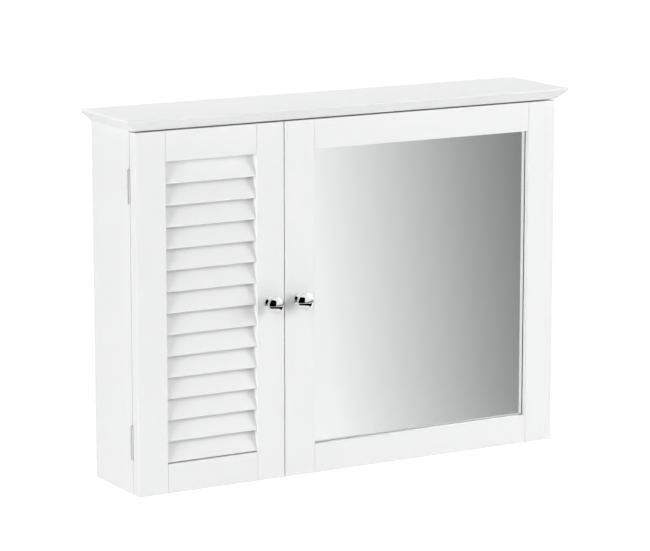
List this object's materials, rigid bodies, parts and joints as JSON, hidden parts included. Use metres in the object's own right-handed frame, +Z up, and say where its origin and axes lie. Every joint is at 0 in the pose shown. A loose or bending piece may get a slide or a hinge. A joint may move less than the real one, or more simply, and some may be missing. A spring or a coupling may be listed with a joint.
{
  "type": "mirrored wall cabinet",
  "caption": "White wall cabinet with a louvred door and a mirror door on butt hinges, chrome knobs, crown-edged top board, shelves on pins and a hanging rail for wall screws.",
  "frame": {"origin": "on the wall plane, halfway between the two hanging screw holes", "axes": "+Z up, -Y is the front with the doors, +X to the right as seen from the front; the wall is the plane y = 0"},
  "size_m": [0.68, 0.1529, 0.501],
  "materials": {
    "white_lacquer": "satin white lacquer on board",
    "hardboard": "raw hardboard",
    "beech": "fluted beech, unfinished",
    "mirror": "silvered float glass",
    "chrome": "polished chrome plate",
    "nickel": "nickel plate",
    "zinc": "die-cast zinc",
    "white_plastic": "moulded white",
    "ferrite": "dull dark ferrite"
  },
  "bodies": {
    "carcass": {"left_side_panel": "white_lacquer", "right_side_panel": "white_lacquer", "bottom_panel": "white_lacquer", "top_board": "white_lacquer", "centre_divider": "white_lacquer", "hanging_rail": "white_lacquer", "back_panel": "hardboard", "left_shelf": "white_lacquer", "right_shelf": "white_lacquer", "left_shelf_pins": "nickel", "right_shelf_pins": "nickel", "dowels": "beech", "cam_bolts": "nickel", "cam_locks": "zinc", "back_panel_screws": "nickel", "left_hinge_frame_leaves": "nickel", "right_hinge_frame_leaves": "nickel", "hinge_pins": "nickel", "carcass_wood_screws": "nickel", "right_catch_housing": "white_plastic", "left_catch_housing": "white_plastic", "catch_magnets": "ferrite", "catch_pole_plates": "nickel"},
    "louvre_door": {"louvre_hinge_stile": "white_lacquer", "louvre_lock_stile": "white_lacquer", "louvre_bottom_rail": "white_lacquer", "louvre_top_rail": "white_lacquer", "louvre_slat_01": "white_lacquer", "louvre_slat_02": "white_lacquer", "louvre_slat_03": "white_lacquer", "louvre_slat_04": "white_lacquer", "louvre_slat_05": "white_lacquer", "louvre_slat_06": "white_lacquer", "louvre_slat_07": "white_lacquer", "louvre_slat_08": "white_lacquer", "louvre_slat_09": "white_lacquer", "louvre_slat_10": "white_lacquer", "louvre_slat_11": "white_lacquer", "louvre_slat_12": "white_lacquer", "louvre_slat_13": "white_lacquer", "louvre_slat_14": "white_lacquer", "louvre_knob": "chrome", "louvre_knob_screw": "nickel", "louvre_strike_plate": "nickel", "louvre_hinge_leaves": "nickel", "louvre_door_screws": "nickel"},
    "mirror_door": {"mirror_lock_stile": "white_lacquer", "mirror_hinge_stile": "white_lacquer", "mirror_bottom_rail": "white_lacquer", "mirror_top_rail": "white_lacquer", "mirror_glass": "mirror", "mirror_backing": "hardboard", "mirror_beads": "white_lacquer", "mirror_knob": "chrome", "mirror_knob_screw": "nickel", "mirror_strike_plate": "nickel", "mirror_hinge_leaves": "nickel", "mirror_door_screws": "nickel"}
  },
  "joints": [
    {"name": "louvre_door_hinge", "type": "hinge", "parent": "carcass", "child": "louvre_door", "pos_m": [-0.3256, -0.1122, -0.21375], "axis": [0, 0, -1], "range_deg": [0, 175]},
    {"name": "mirror_door_hinge", "type": "hinge", "parent": "carcass", "child": "mirror_door", "pos_m": [0.3256, -0.1122, -0.21375], "axis": [0, 0, 1], "range_deg": [0, 175]}
  ]
}
